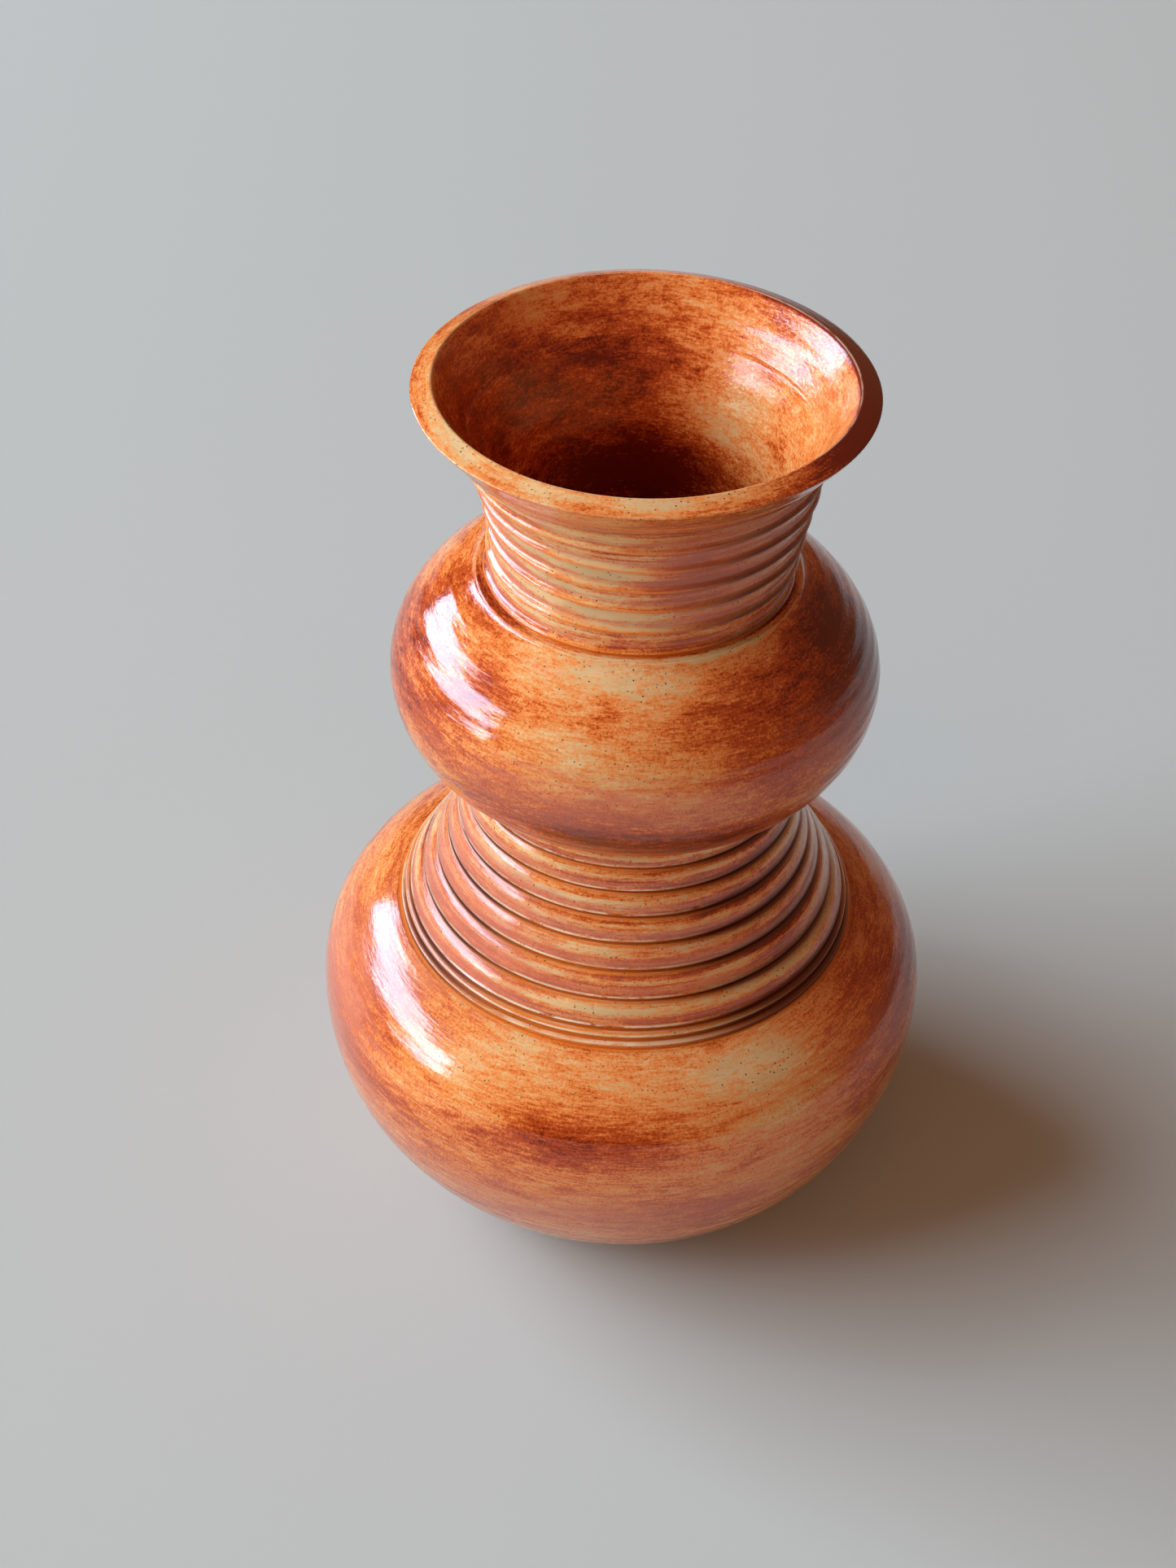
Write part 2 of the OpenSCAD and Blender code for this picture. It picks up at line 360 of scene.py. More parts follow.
def bulb_outline(waist_edge_r):
    start = [rows(waist_edge_r, WAIST_Z, groove=1.0),
             rows(waist_edge_r + 0.15, WAIST_Z + 0.5, groove=0.9),
             rows(waist_edge_r + 0.6, WAIST_Z + 1.0, groove=0.6)]
    side_low = BULB_Z - oval_height(BULB_R, BULB_DROP, 2, WAIST_R + 1.6)
    side = BULB_Z + BULB_RISE * np.sin(np.linspace(-1, 1, 130) * math.pi / 2)
    side = side[(side > side_low) & (side < NECK_Z - FILLET_DROP)]
    fillet = steps(NECK_Z - FILLET_DROP, NECK_Z - 0.2, 0.2)
    fillet_start_r = float(bulb_out(np.array(NECK_Z - FILLET_DROP)))
    fillet_r = FILLET_R + (fillet_start_r - FILLET_R) * ((NECK_Z - fillet) / FILLET_DROP) ** 1.6
    top = [rows(fillet_r, fillet), rows(FILLET_R - 0.15, NECK_Z - 0.05, edge=0.5),
           rows(FILLET_R - 0.4, NECK_Z), rows(NECK_R + 0.4, NECK_Z, groove=0.1),
           rows(NECK_R - 0.4, NECK_Z, groove=1.0)]
    in_top = BULB_Z + oval_height(BULB_R - WALL, BULB_RISE - WALL, 2, THROAT_R)
    in_low = BULB_Z - oval_height(BULB_R - WALL, BULB_DROP - WALL, 2, WAIST_IN_R)
    down = steps(in_top, in_low, 1.2)
    return np.concatenate(
        start + [rows(bulb_out(side), side)] + top
        + [joint(NECK_TONGUE, NECK_Z, True), rows(THROAT_R, NECK_Z, inside=1.0),
           rows(bulb_in(down), down, inside=1.0), rows(WAIST_IN_R, WAIST_Z, inside=1.0),
           joint(WAIST_TONGUE, WAIST_Z, False)])


def neck_outline():
    ribs = band_outline(neck_side, NECK_ROOT_R, RIB_GROOVES, RIM_Z, RIB_GROOVE_H,
                        cut=0.35, dip=0.2, shape=ribbed, pale_lip=0.0, shade_w=0.75)
    down = steps(RIM_Z, THROAT_TOP, 0.9)
    throat = steps(THROAT_TOP - 1, NECK_Z, 1.2)
    return np.concatenate([rows(NECK_ROOT_R, NECK_Z, groove=1.0), ribs,
                           rows(ribs[-1, 0] - 0.2, RIM_Z, groove=1.0),
                           joint(RIM_TONGUE, RIM_Z, True), rows(funnel(down), down, inside=1.0),
                           rows(THROAT_R, throat, inside=1.0),
                           joint(NECK_TONGUE, NECK_Z, False)])


def rounded(before, corner, after, count):
    """A rounded corner, as a curve that starts at before, leans to corner and ends at after."""
    t = np.linspace(0, 1, count)[:, None]
    before, corner, after = (np.array(p, float) for p in (before, corner, after))
    return (1 - t) ** 2 * before + 2 * t * (1 - t) * corner + t * t * after


EDGE_ROWS = 7
CREST_ROWS = 8
FLAT_ROWS = 6


def rim_outline(seam_r):
    up = steps(RIM_Z + 0.25, LIP_EDGE_Z - 1.2, 0.4)
    thin_groove = bell(up - RIM_Z, 3.2, 0.35)
    rise = smooth(up, RIM_Z, RIM_Z + 0.6)
    outer = rows(seam_r + (neck_side(up) + 0.25 - seam_r) * rise - 0.3 * thin_groove, up,
                 groove=np.clip(1 - smooth(up, RIM_Z, RIM_Z + 0.7) + thin_groove, 0, 1))

    # The bevelled lip: its outer edge, its sloping band and its crest
    edge = rounded((RIM_R - 0.55, LIP_EDGE_Z - 0.8), (RIM_R + 0.2, LIP_EDGE_Z - 0.05),
                   (RIM_R - 0.35, LIP_EDGE_Z + 0.35 * LIP_SLOPE), EDGE_ROWS)
    crest_end = HEIGHT - 0.8
    crest = rounded((CREST_R + 0.5, HEIGHT - 0.5 * LIP_SLOPE), (CREST_R - 0.1, HEIGHT + 0.15),
                    (float(funnel(np.array(crest_end))), crest_end), CREST_ROWS)
    flat = np.linspace(edge[-1], crest[0], FLAT_ROWS + 2)[1:-1]
    lip = np.concatenate([
        rows(edge[:, 0], edge[:, 1], edge=0.3 * bell(np.arange(EDGE_ROWS), 3, 1.5)),
        rows(flat[:, 0], flat[:, 1]),
        rows(crest[:, 0], crest[:, 1], edge=0.5 * bell(np.arange(CREST_ROWS), 3, 1.8),
             inside=smooth(np.arange(CREST_ROWS), 4, 8))])
    down = steps(HEIGHT - 2.0, RIM_Z, 0.7)
    return np.concatenate([rows(seam_r, RIM_Z, groove=1.0), outer, lip,
                           rows(funnel(down), down, inside=1.0), joint(RIM_TONGUE, RIM_Z, False)])


# ---------------------------------------------------------------- the hand-thrown surface

SEGMENTS = 360
SHARP_ANGLE = 62

# The potter's unevenness, as (amount, waves round the pot, seed, height in which they turn)
SLOW_WAVES = (0.55, (2, 3, 4), 3, 55.0)
QUICK_WAVES = (0.16, (5, 7, 9, 12), 5, 12.0)
SLOW_LIFT = (0.45, (1, 2, 3), 13, 25.0)
QUICK_LIFT = (0.12, (5, 8, 11), 17, 9.0)
# Finger rings, as the height between them and then the waves that bend them, given as above
OUTER_RINGS = (3.1, (2, (1, 2, 3), 8, 30.0))
THROAT_RINGS = (5.3, (2.5, (1, 2), 9, 50.0))
RING_DEPTH = 0.07
# How far the lower globe stands to the left, and the outside of the neck to the right
GLOBE_LEAN = 0.7
NECK_LEAN = 1.1


def harmonics(theta, z, amount, waves, seed, drift):
    """A slow random wave round the pot that changes with height. It has no seam."""
    rng = np.random.default_rng(seed)
    total = np.zeros(np.broadcast(theta, z).shape)
    for k in waves:
        phase, turn, size = rng.uniform(0, 2 * math.pi), rng.uniform(-1, 1), rng.uniform(0.6, 1)
        total = total + size / k ** 0.7 * np.cos(k * theta + phase + turn * z / drift)
    return amount * (total / len(waves))


def finger_rings(theta, z, pitch, bent):
    return RING_DEPTH * np.sin(2 * math.pi * z / pitch + harmonics(theta, z, *bent))


def thrown(theta, radius, z, inside):
    """Moves a true turned surface to where the potter's hands left it. The foot stays true."""
    free = smooth(z, 4.0, 24.0)
    rings = finger_rings(theta, z, *OUTER_RINGS) * smooth(radius, 30.0, 40.0)
    throat_rings = inside * finger_rings(theta, z, *THROAT_RINGS)
    out = free * (harmonics(theta, z, *SLOW_WAVES) + harmonics(theta, z, *QUICK_WAVES) + rings
                  + throat_rings * smooth(z, NECK_Z, NECK_Z + 12))
    lift = free * (harmonics(theta, z, *SLOW_LIFT) + harmonics(theta, z, *QUICK_LIFT))
    lean = free * bell(z, 32.0, 22.0)
    over = (1 - inside) * bell(z, 174.0, 11.0, power=4)
    x = (radius + out) * np.cos(theta) - GLOBE_LEAN * lean + NECK_LEAN * over
    y = (radius + out) * np.sin(theta)
    return x, y, z + lift * smooth(z, 60.0, 78.0) * (1 - 0.6 * smooth(z, 185.0, 199.0))


def turned_mesh(name, outline, theta, open_ends):
    """A closed outline turned round the axis. Open ends lie on the axis, so nothing joins them."""
    radius = column(outline, "radius")
    x, y, height = thrown(theta, radius, column(outline, "z"), column(outline, "inside"))
    x, y = np.where(radius > 0, x, 0), np.where(radius > 0, y, 0)
    verts = np.stack([x, y, height + 0 * x], -1).reshape(-1, 3) * MM
    count = len(outline)
    ring = np.arange(count - 1 if open_ends else count)[:, None]
    after = (ring + 1) % count
    seg = np.arange(SEGMENTS)
    next_seg = (seg + 1) % SEGMENTS
    quads = np.stack([ring * SEGMENTS + seg, ring * SEGMENTS + next_seg,
                      after * SEGMENTS + next_seg, after * SEGMENTS + seg], -1).reshape(-1, 4)
    mesh = bpy.data.meshes.new(name)
    mesh.from_pydata(verts.tolist(), [], quads.tolist())
    return mesh


def close_poles(mesh):
    """Welds the points that fell together on the axis."""
    work = bmesh.new()
    work.from_mesh(mesh)
    on_axis = [v for v in work.verts if v.co.xy.length < NEAR]
    bmesh.ops.remove_doubles(work, verts=on_axis, dist=NEAR)
    bmesh.ops.recalc_face_normals(work, faces=work.faces)
    work.to_mesh(mesh)
    work.free()
    mesh.update()


def turn(name, outline, open_ends):
    """One section of the pot as a closed mesh, with the guides that its material reads."""
    theta = np.linspace(0, 2 * math.pi, SEGMENTS, endpoint=False)[None, :]
    mesh = turned_mesh(name, outline, theta, open_ends)
    for key, values in painting_guides(outline, theta).items():
        layer = mesh.attributes.new(key, "FLOAT", "POINT")
        layer.data.foreach_set("value", (values + 0 * theta).reshape(-1).astype(np.float32))
    piece = bpy.data.objects.new(name, mesh)
    bpy.context.scene.collection.objects.link(piece)
    close_poles(mesh)
    mesh.polygons.foreach_set("use_smooth", [True] * len(mesh.polygons))
    mesh.set_sharp_from_angle(angle=math.radians(SHARP_ANGLE))
    return piece


# ---------------------------------------------------------------- where the oxide was brushed, and where light and shade are painted
# Patches as (degrees round from the front, positive to the right; height; half width in degrees;
# half height; amount). A negative amount leaves the cream glaze bare.

OUTER_OXIDE_AND_SHADE = [
    (32, 57, 14, 10, -0.28),
    (0, 69.5, 50, 2.0, -0.18),
    (26, 68, 14, 3, -0.30),
    (-32, 67, 12, 3.5, -0.35),
    (-6, 58, 20, 5.5, 0.42),
    (-68, 55, 18, 18, 0.30),
    (62, 54, 14, 9, 0.25),
    (78, 62, 20, 9, 0.40),
    (10, 40, 22, 5, 0.20),
    (-10, 156, 45, 1.8, -0.30),
    (45, 157, 22, 1.5, -0.30),
    (-62, 158, 20, 3, 0.30),
    (-80, 143, 20, 14, 0.50),
    (-38, 140, 18, 9, 0.15),
    (-42, 152, 8, 5, 0.35),
    (34, 150, 18, 5, 0.30),
    (6, 147, 16, 5, -0.12),
    (-14, 143, 12, 10, -0.16),
    (20, 143, 16, 7, 0.06),
    # Dark oxide, deepened as painted shade on the bulb's shaded right side
    (72, 146, 30, 14, 0.75),
    (5, 126, 45, 6, 0.62),
    (0, 88, 14, 7, 0.20),
    (-65, 92, 22, 16, 0.20),
    (55, 95, 25, 18, 0.20),
    (-25, 172, 34, 16, -0.30),
    # Painted shade on the right half of the neck
    (50, 176, 30, 14, 0.25),
    (17, 179, 11, 11, 0.52),
    (-10, 199.0, 70, 1.5, -0.46),
    (-20, 197.9, 70, 0.5, 0.34),
    (-20, 198.8, 90, 0.3, 0.30),
    # Painted shade on the right of the lip
    (92, 199.0, 50, 1.8, 1.6),
    (150, 50, 35, 16, -0.35),
    (-150, 44, 30, 14, 0.20),
    (170, 140, 40, 10, -0.25),
]
INNER_OXIDE_AND_SHADE = [
    (138, 177, 24, 8, -0.50),
    (98, 186, 12, 9, -0.12),
    (160, 192, 20, 4, -0.10),
    (205, 184, 35, 10, 0.42),
    (218, 196, 24, 3.5, -0.20),
    # Painted shade deep in the throat, at the back
    (185, 163, 60, 11, 0.90),
    # Painted shade on the inner left wall
    (262, 188, 34, 15, 0.50),
    (176, 186, 22, 9, 0.22),
]
# Where shade is painted dark in the grooves and reaches past them, and where it stays close to the
# grooves, which it does more the higher CLOSENESS is
WIDE_GROOVE_SHADE = [
    (52, 174, 30, 30, 1.60),
    (56, 90, 34, 40, 1.20),
]
CLOSENESS = 5
CLOSE_GROOVE_SHADE = [
    (-62, 90, 34, 40, 1.20),
    (-62, 174, 34, 30, 0.50),
    (50, 90, 40, 40, 0.50),
    (150, 100, 40, 90, 0.50),
]
# Where pink is painted: partly the glaze's own pinkish tone, partly a painted reflection low on the
# globe and bulb, and painted shade on the right half of the neck
OUTER_PINK_TONE_AND_PAINTED_LIGHT = [
    (-75, 55, 25, 16, 0.55),
    # Pink painted as a reflection low on the globe's front
    (0, 38, 60, 10, 0.45),
    (60, 62, 25, 8, 0.35),
    # Pink painted as a reflection low on the bulb's front
    (-10, 136, 50, 8, 0.45),
    (60, 142, 25, 8, 0.35),
    (-55, 88, 35, 18, 0.65),
    (20, 88, 30, 10, 0.30),
    # Painted shade on the right half of the neck
    (30, 178, 22, 13, 1.00),
    (-10, 193, 50, 3, 0.40),
    (-60, 172, 25, 12, 0.35),
    (170, 60, 50, 20, 0.30),
]
# The oxide that lies where there is no patch
BASE_OXIDE = 0.5

# Light and shade painted on the wide bands, as (amount, place up the band, half width): cream
# painted as light near the top, and pink painted as shade on the face
LIT_BAND_TOP = (0.42, 0.72, 0.11)
SHADED_BAND_FACE = (0.36, 0.42, 0.17)


def patches(outer, inner, base, theta, outline):
    """The sum of the soft patches at every point of a section, before the brush breaks it up."""
    z, inside = column(outline, "z"), column(outline, "inside")
    around = np.degrees(theta) + 90.0
    total = np.full(np.broadcast(theta, z).shape, base)
    for chosen, side in ((outer, 1 - inside), (inner, inside)):
        for angle, height, half_w, half_h, amount in chosen:
            apart = (around - angle + 180.0) % 360.0 - 180.0
            total += side * amount * np.exp(-(apart / half_w) ** 2 - ((z - height) / half_h) ** 2)
    return total


def painting_guides(outline, theta):
    """What the materials read at every point of a section, by the names of the attributes."""
    z, inside, band, shade_reach = (column(outline, name) for name in ("z", "inside", "band", "groove_shade"))
    lengths = np.hypot(*np.diff(outline[:, :2], axis=0).T)
    arc = np.concatenate([[0], np.cumsum(lengths)]) + outline[0, 1]
    on_ribs = (smooth(z, SHOULDER_Z, SHOULDER_Z + 1) - smooth(z, WAIST_Z, WAIST_Z + 2)
               + smooth(z, NECK_Z - 1, NECK_Z) - smooth(z, RIM_Z, RIM_Z + 4)) * (1 - inside)
    lit_top, shaded_face = (amount * bell(band, place, width)
                           for amount, place, width in (LIT_BAND_TOP, SHADED_BAND_FACE))
    return {
        "groove": column(outline, "groove"),
        "edge": column(outline, "edge"),
        "inside": inside,
        "arc": arc[:, None],
        # Painted shade by the grooves; the oxide with painted shade in some patches and painted light
        # on the band tops; pink, partly painted reflection and shade
        "groove_shade": np.clip(shade_reach * patches(WIDE_GROOVE_SHADE, [], 0.0, theta, outline)
                        + shade_reach ** CLOSENESS * patches(CLOSE_GROOVE_SHADE, [], 0.0, theta, outline), 0, 1),
        "oxide_and_painted_light": patches(OUTER_OXIDE_AND_SHADE, INNER_OXIDE_AND_SHADE, BASE_OXIDE, theta, outline) - lit_top,
        "pink_tone_and_painted_light": patches(OUTER_PINK_TONE_AND_PAINTED_LIGHT, [], 0.0, theta, outline) + shaded_face,
        "ribbed": on_ribs,
    }


# ---------------------------------------------------------------- materials

def linear(hex_colour):
    """Linear RGBA of a colour written as it looks, such as "d7af7d"."""
    parts = [int(hex_colour[i:i + 2], 16) / 255 for i in (0, 2, 4)]
    return [p / 12.92 if p <= 0.04045 else ((p + 0.055) / 1.055) ** 2.4 for p in parts] + [1.0]


class Graph:
    """A material's nodes, written as sums: each call adds a node and returns its output."""

    def __init__(self, name):
        self.material = bpy.data.materials.new(name)
        self.material.use_nodes = True
        self.tree = self.material.node_tree
        self.tree.nodes.clear()

    def put(self, socket, value):
        if isinstance(value, bpy.types.NodeSocket):
            self.tree.links.new(value, socket)
        else:
            socket.default_value = value

    def node(self, kind, inputs=None, **settings):
        node = self.tree.nodes.new(kind)
        for key, value in settings.items():
            setattr(node, key, value)
        for key, value in (inputs or {}).items():
            self.put(node.inputs[key], value)
        return node

    def math(self, operation, a, b=0.0, c=0.0, clamp=False):
        node = self.node("ShaderNodeMath", {0: a, 1: b, 2: c}, operation=operation)
        node.use_clamp = clamp
        return node.outputs[0]

    def times(self, first, *others):
        """The product of all of them."""
        for other in others:
            first = self.math("MULTIPLY", first, other)
        return first

    def total(self, start, *weighted):
        """start, and each value times its weight."""
        for value, weight in weighted:
            start = self.math("MULTIPLY_ADD", value, weight, start)
        return start

    def step(self, value, start, end):
        ends = {"Value": value, "From Min": start, "From Max": end}
        return self.node("ShaderNodeMapRange", ends, interpolation_type="SMOOTHSTEP").outputs[0]

    def paint(self, colour, *coats):
        """colour under coats, each given as how much of it covers and its colour."""
        for cover, coat in coats:
            node = self.node("ShaderNodeMix", data_type="RGBA")
            for socket, value in ((0, cover), (6, colour), (7, coat)):
                self.put(node.inputs[socket], value)
            colour = node.outputs[2]
        return colour

    def vector(self, x, y, z):
        return self.node("ShaderNodeCombineXYZ", {0: x, 1: y, 2: z}).outputs[0]

    def noise(self, vector, detail, rough=0.55, distortion=0.0):
        inputs = {"Vector": vector, "Scale": 1.0, "Detail": detail, "Roughness": rough,
                  "Distortion": distortion}
        return self.node("ShaderNodeTexNoise", inputs).outputs["Fac"]

    def attribute(self, name):
        return self.node("ShaderNodeAttribute", attribute_name=name).outputs["Fac"]

    def finish(self, inputs, relief=None):
        """Ends in a Principled shader with these inputs, and relief as bumps in millimetres."""
        if relief is not None:
            bump = self.node("ShaderNodeBump", {"Strength": 1.0, "Distance": MM, "Height": relief})
            inputs = {**inputs, "Normal": bump.outputs[0]}
        shader = self.node("ShaderNodeBsdfPrincipled", inputs)
        self.node("ShaderNodeOutputMaterial", {"Surface": shader.outputs[0]})
        return self.material


class PotGraph(Graph):
    """Adds places on the pot: round it, along its outline and in space, all in millimetres."""

    def __init__(self, name):
        super().__init__(name)
        place = self.node("ShaderNodeTexCoord").outputs["Object"]
        split = self.node("ShaderNodeSeparateXYZ", {0: place})
        self.x, self.y, self.z = (self.math("DIVIDE", split.outputs[i], MM) for i in range(3))
        square = self.math("ADD", self.times(self.x, self.x), self.times(self.y, self.y))
        radius = self.math("MAXIMUM", self.math("SQRT", square), 0.01)
        self.cos = self.math("DIVIDE", self.x, radius)
        self.sin = self.math("DIVIDE", self.y, radius)
        self.arc = self.attribute("arc")

    def round_the_pot(self, length, width, reach=48.0):
        """Coordinates for marks width across, and length long where the pot's radius is reach."""
        turn_scale = reach / length
        return self.vector(self.times(self.cos, turn_scale), self.times(self.sin, turn_scale),
                           self.math("DIVIDE", self.arc, width))

    def in_space(self, size):
        return self.vector(*(self.math("DIVIDE", v, size) for v in (self.x, self.y, self.z)))


CREAM = linear("dab685")
GREEN_CREAM = linear("caae80")
TAN = linear("db9a5e")
ORANGE = linear("da7a3a")
RUST = linear("ac4316")
DEEP = linear("6a1806")
PINK_TONE_AND_PAINTED_LIGHT = linear("c07058")
POOLED = linear("e8822f")
SHADE = linear("5a2410")
PAINTED_GROOVE_SHADE = linear("451006")
BROKEN_GLAZE_AND_HIGHLIGHT = linear("f4e2c2")
SPECK = linear("2c150c")
CLAY = linear("b08a66")
CLAY_DARK = linear("8d6a4c")
FLOOR_PAINT = (0.465, 0.493, 0.484, 1.0)


def glaze():
    """Cream glaze over speckled stoneware, with iron oxide brushed round the turning pot, and light
    and shade painted into its colour in places.
    """
    g = PotGraph("brushed_glaze")
    groove, edge, inside, groove_shade, oxide_and_painted_light, pink_tone_and_painted_light, ribbed = (
        g.attribute(name)
        for name in ("groove", "edge", "inside", "groove_shade", "oxide_and_painted_light", "pink_tone_and_painted_light", "ribbed"))

    # How thick the oxide lies, with painted shade from some patches and painted light at the tops of
    # the bands: patches, then brush streaks, bristle marks, grain and rings
    blotch = g.noise(g.round_the_pot(24.0, 9.0), detail=5.0, rough=0.6, distortion=0.7)
    streak = g.noise(g.round_the_pot(8.0, 1.9), detail=5.0, rough=0.7, distortion=0.6)
    bristle = g.noise(g.round_the_pot(3.0, 0.42), detail=3.0, rough=0.7)
    grain = g.noise(g.in_space(0.6), detail=2.0, rough=0.8)
    ring = g.noise(g.round_the_pot(80.0, 2.0), detail=5.0, rough=0.8)
    rings = g.times(g.math("SUBTRACT", ring, 0.5), ribbed)
    amount = g.total(oxide_and_painted_light,
                     (g.math("SUBTRACT", blotch, 0.46), 1.25),
                     (g.math("SUBTRACT", streak, 0.5), 1.05),
                     (g.math("SUBTRACT", bristle, 0.5), 1.0),
                     (g.math("SUBTRACT", grain, 0.5), 1.0),
                     (rings, 3.4))

    tint = g.step(g.noise(g.round_the_pot(14.0, 7.0), detail=2.0), 0.38, 0.62)
    colour = g.paint(CREAM,
                     (tint, GREEN_CREAM),
                     (g.step(amount, 0.0, 0.34), TAN),
                     (g.step(amount, 0.25, 0.60), ORANGE),
                     (g.step(amount, 0.50, 0.88), RUST),
                     (g.step(amount, 0.84, 1.25), DEEP),
                     # Pink: partly the glaze's own tone, partly painted reflection and painted shade
                     (g.times(g.step(g.total(pink_tone_and_painted_light, (streak, 0.9)), 0.55, 1.05), 0.7), PINK_TONE_AND_PAINTED_LIGHT))

    # Glaze pools orange in the grooves, and shade is painted dark in their bottoms. The lips are
    # painted pale, as glaze breaking there and as a painted highlight, and painted shade lies in and
    # beside the grooves at the left, right and back of the pot
    pool = g.times(g.step(groove, 0.25, 0.85), g.step(bristle, 0.25, 0.5))
    wear_and_highlight = g.times(g.step(edge, 0.2, 0.85), g.step(streak, 0.36, 0.56),
                   g.math("SUBTRACT", 0.9, groove_shade, clamp=True), g.step(blotch, 0.32, 0.52))
    colour = g.paint(colour,
                     (pool, POOLED),
                     (g.times(g.step(groove, 0.75, 1.0), 0.15), SHADE),
                     (wear_and_highlight, BROKEN_GLAZE_AND_HIGHLIGHT),
                     (g.times(groove_shade, 0.9), PAINTED_GROOVE_SHADE))

    # Iron specks come through where the oxide is thin
    spots = g.node("ShaderNodeTexVoronoi", {"Vector": g.in_space(0.9), "Scale": 1.0})
    pick = g.node("ShaderNodeSeparateColor", {0: spots.outputs["Color"]})
    size = g.total(0.09, (pick.outputs[1], 0.16))
    apart = g.math("DIVIDE", spots.outputs["Distance"], size)
    spot = g.times(g.math("SUBTRACT", 1.0, g.step(apart, 0.6, 1.1)),
                   g.step(pick.outputs[0], 0.32, 0.37),
                   g.total(0.9, (g.step(amount, 0.2, 0.8), -0.6)),
                   g.total(1.0, (inside, -0.6)))
    colour = g.paint(colour, (spot, SPECK))

    # Brush ripples and a faint orange-peel skin, and wrinkles inside
    ripples = g.noise(g.round_the_pot(5.0, 0.9), detail=3.0)
    skin = g.noise(g.in_space(1.3), detail=2.0, rough=0.5)
    wrinkle = g.noise(g.in_space(1.1), detail=3.0, rough=0.6, distortion=1.0)
    relief = g.total(g.times(skin, 0.035), (ripples, 0.08), (bristle, 0.022), (rings, 0.12),
                     (g.times(wrinkle, inside), 0.1))
    shine = g.total(0.065, (g.step(amount, 0.3, 1.0), 0.05), (groove_shade, 0.4))
    return g.finish({"Base Color": colour, "Roughness": shine, "IOR": 1.5, "Coat Weight": 0.2,
                     "Coat Roughness": 0.07}, relief)


def bare_clay():
    """Unglazed, turned stoneware, sandy and speckled."""
    g = PotGraph("bare_turned_clay")
    turned = g.noise(g.round_the_pot(30.0, 0.5), detail=3.0, rough=0.6)
    sand = g.noise(g.in_space(0.35), detail=3.0, rough=0.7)
    colour = g.paint(CLAY, (g.step(turned, 0.35, 0.65), CLAY_DARK),
                     (g.step(sand, 0.62, 0.72), SPECK))
    relief = g.total(g.times(sand, 0.12), (turned, 0.08))
    return g.finish({"Base Color": colour, "Roughness": 0.85}, relief)


def floor_paint():
    """The plain pale floor."""
    return Graph("pale_floor").finish(
        {"Base Color": FLOOR_PAINT, "Roughness": 0.9, "Specular IOR Level": 0.0})


# ---------------------------------------------------------------- camera, lights and floor

CAMERA_AT = Vector((0.0, -0.3704, 0.4217))
CAMERA_PITCH = math.radians(40.90)
CAMERA_YAW = math.radians(-1.366)
CAMERA_ROLL = math.radians(1.428)
SENSOR_H = 24.0
FOCAL_IN_PICTURE_HEIGHTS = 1.4784

# The room: weak warm light from all round, and a pale backdrop that only the camera sees
ROOM_GLOW = (1.0, 0.48, 0.24, 1.0)
ROOM_STRENGTH = 0.23
BACKDROP = (0.52, 0.54, 0.54, 1.0)

# Far panels for the diffuse light, as (name, azimuth, elevation, width and height in degrees as
# the vase sees them, radiance, colour)
DAYLIGHT = (0.84, 0.96, 1.07)
PANEL_DISTANCE = 6.0
SOFT_PANELS = [
    ("window_front", -78, 30, 32, 36, 8.4, DAYLIGHT),
    ("window_back", -112, 30, 32, 36, 8.4, DAYLIGHT),
    ("room_fill", -24, 18, 60, 22, 2.1, (1.0, 0.72, 0.50)),
]

# The window that shows in the glaze
GLINT_AT = Vector((-0.42, 0.045, 0.287))
GLINT_TOWARDS = Vector((0, 0, 0.1))
GLINT_SIZE = (0.57, 0.142)
GLINT_RADIANCE = 13.0
GLINT_COLOUR = (0.80, 0.91, 1.18)

FLOOR_HALF = 3.0


def add_camera():
    data = bpy.data.cameras.new("camera")
    data.sensor_fit = "VERTICAL"
    data.sensor_height = SENSOR_H
    data.lens = FOCAL_IN_PICTURE_HEIGHTS * SENSOR_H
    data.clip_start = 0.01
    camera = bpy.data.objects.new("camera", data)
    bpy.context.scene.collection.objects.link(camera)
    cos_p, sin_p = math.cos(CAMERA_PITCH), math.sin(CAMERA_PITCH)
    ahead = Vector((math.sin(CAMERA_YAW) * cos_p, math.cos(CAMERA_YAW) * cos_p, -sin_p))
    right = Vector((math.cos(CAMERA_YAW), -math.sin(CAMERA_YAW), 0))
    up = right.cross(ahead)
    tilted_right = math.cos(CAMERA_ROLL) * right + math.sin(CAMERA_ROLL) * up
    tilted_up = math.cos(CAMERA_ROLL) * up - math.sin(CAMERA_ROLL) * right
    camera.matrix_world = Matrix.Translation(CAMERA_AT) @ Matrix(
        (tilted_right, tilted_up, -ahead)).transposed().to_4x4()
    bpy.context.scene.camera = camera


def direction(azimuth, elevation):
    """Unit vector towards a light. Azimuth 0 is the camera's side and 90 is the right."""
    azimuth, elevation = math.radians(azimuth), math.radians(elevation)
    level = math.cos(elevation)
    return Vector((math.sin(azimuth) * level, -math.cos(azimuth) * level, math.sin(elevation)))


def add_panel(name, place, towards, wide, tall, radiance, colour):
    """A rectangle of even light at a place, facing the point towards."""
    data = bpy.data.lights.new(name, "AREA")
    data.shape = "RECTANGLE"
    data.size, data.size_y = wide, tall
    data.energy = math.pi * radiance * wide * tall
    data.color = colour
    light = bpy.data.objects.new(name, data)
    bpy.context.scene.collection.objects.link(light)
    light.location = place
    light.rotation_euler = (place - towards).to_track_quat("Z", "Y").to_euler()
    return light


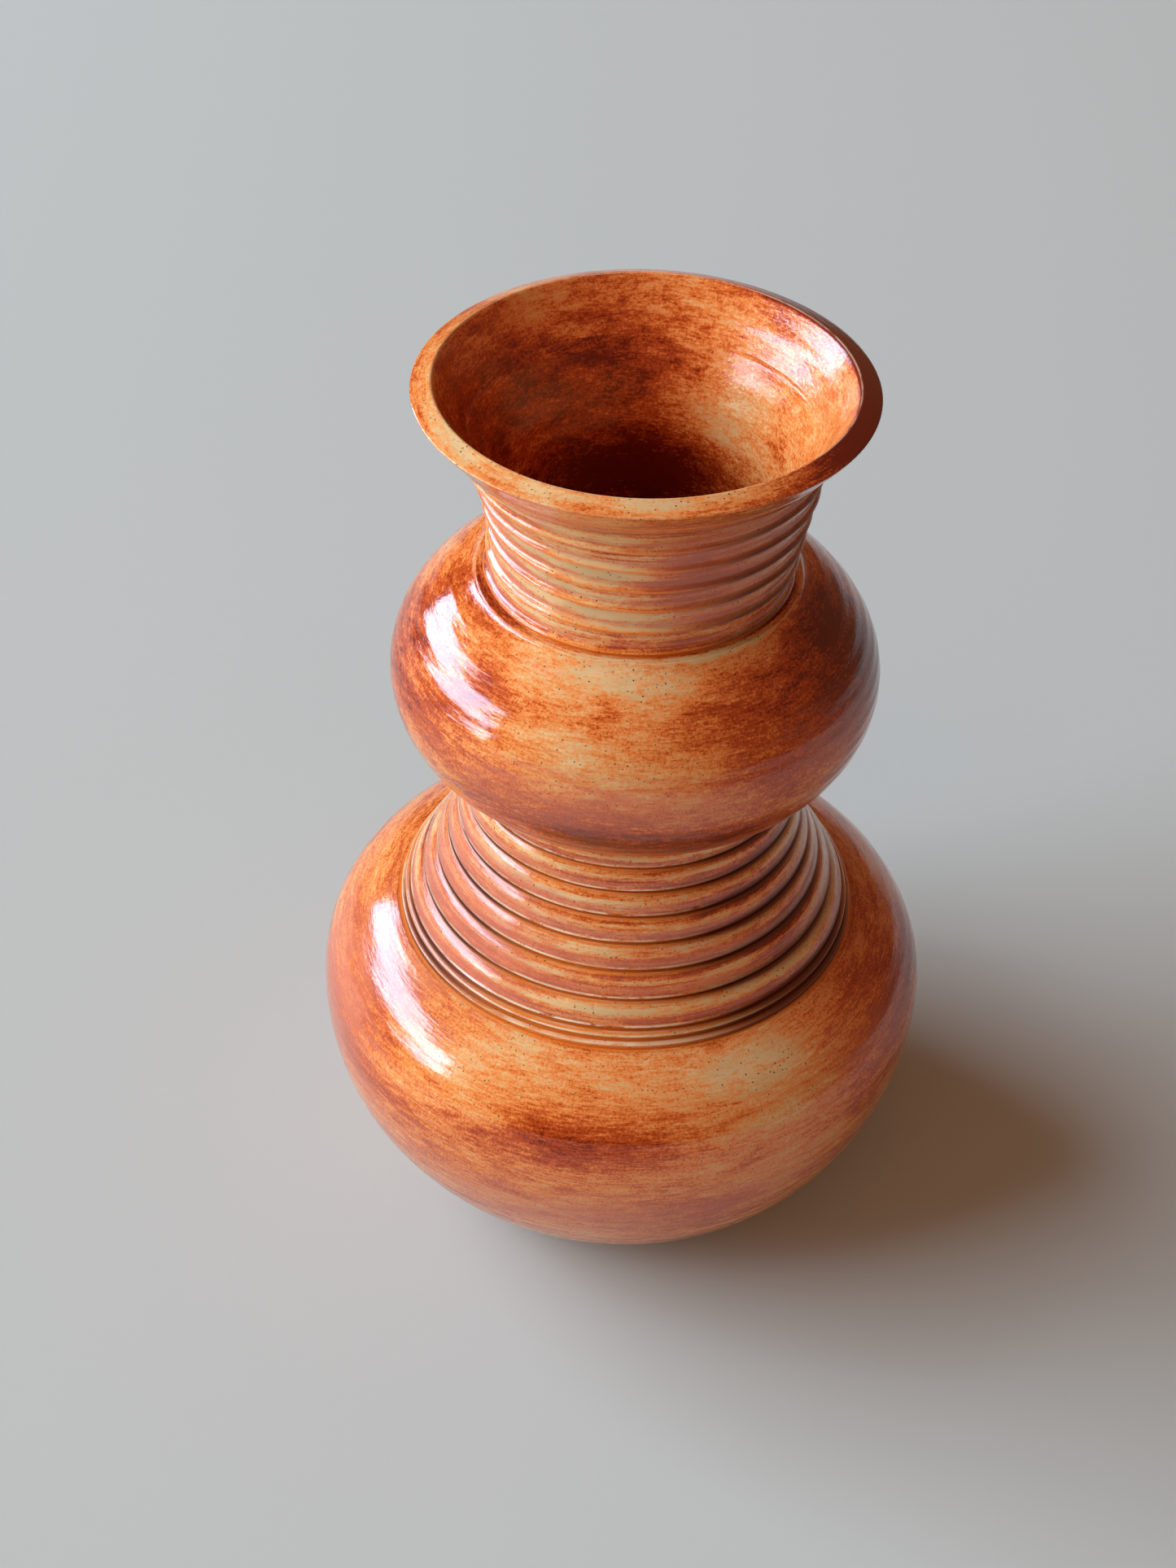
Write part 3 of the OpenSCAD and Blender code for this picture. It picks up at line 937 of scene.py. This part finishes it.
def add_soft_panel(name, azimuth, elevation, wide, tall, radiance, colour):
    """A far panel that lights without showing in the glaze, sized in degrees seen by the vase."""
    middle = Vector((0, 0, HEIGHT * MM / 2))
    sides = [2 * PANEL_DISTANCE * math.tan(math.radians(a / 2)) for a in (wide, tall)]
    place = middle + direction(azimuth, elevation) * PANEL_DISTANCE
    add_panel(name, place, middle, *sides, radiance, colour).visible_glossy = False


def add_world():
    world = bpy.data.worlds.new("room")
    world.use_nodes = True
    nodes, links = world.node_tree.nodes, world.node_tree.links
    glow = nodes["Background"]
    glow.inputs["Color"].default_value = ROOM_GLOW
    glow.inputs["Strength"].default_value = ROOM_STRENGTH
    backdrop = nodes.new("ShaderNodeBackground")
    backdrop.inputs["Color"].default_value = BACKDROP
    choice = nodes.new("ShaderNodeMixShader")
    links.new(nodes.new("ShaderNodeLightPath").outputs["Is Camera Ray"], choice.inputs[0])
    links.new(glow.outputs[0], choice.inputs[1])
    links.new(backdrop.outputs[0], choice.inputs[2])
    links.new(choice.outputs[0], nodes["World Output"].inputs["Surface"])
    bpy.context.scene.world = world


def add_lights():
    for panel in SOFT_PANELS:
        add_soft_panel(*panel)
    glint = add_panel("window_glint", GLINT_AT, GLINT_TOWARDS, *GLINT_SIZE, GLINT_RADIANCE,
                      GLINT_COLOUR)
    glint.visible_diffuse = False


def add_floor():
    corners = [(x * FLOOR_HALF, y * FLOOR_HALF, 0) for x, y in ((-1, -1), (1, -1), (1, 1), (-1, 1))]
    mesh = bpy.data.meshes.new("floor")
    mesh.from_pydata(corners, [], [(0, 1, 2, 3)])
    mesh.materials.append(floor_paint())
    floor = bpy.data.objects.new("floor", mesh)
    bpy.context.scene.collection.objects.link(floor)


# ---------------------------------------------------------------- build

add_camera()
add_world()
add_lights()
add_floor()
bpy.context.scene.view_settings.view_transform = "Standard"

shoulder = shoulder_outline()
neck = neck_outline()
PIECES = [
    ("foot_ring", foot_outline(), False, "bare_stoneware"),
    ("lower_globe", globe_outline(), True, "rust_glaze"),
    ("ribbed_shoulder", shoulder, False, "rust_glaze"),
    ("upper_bulb", bulb_outline(seam_edge(shoulder, WAIST_Z)), False, "rust_glaze"),
    ("ribbed_neck", neck, False, "rust_glaze"),
    ("flared_rim", rim_outline(seam_edge(neck, RIM_Z)), False, "rust_glaze"),
]
FINISH = {"bare_stoneware": bare_clay(), "rust_glaze": glaze()}

for node, outline, open_ends, slot in PIECES:
    piece = turn("thrown_" + node, outline, open_ends)
    piece.data.materials.append(FINISH[slot])
    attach(piece, "root")
    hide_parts(node)
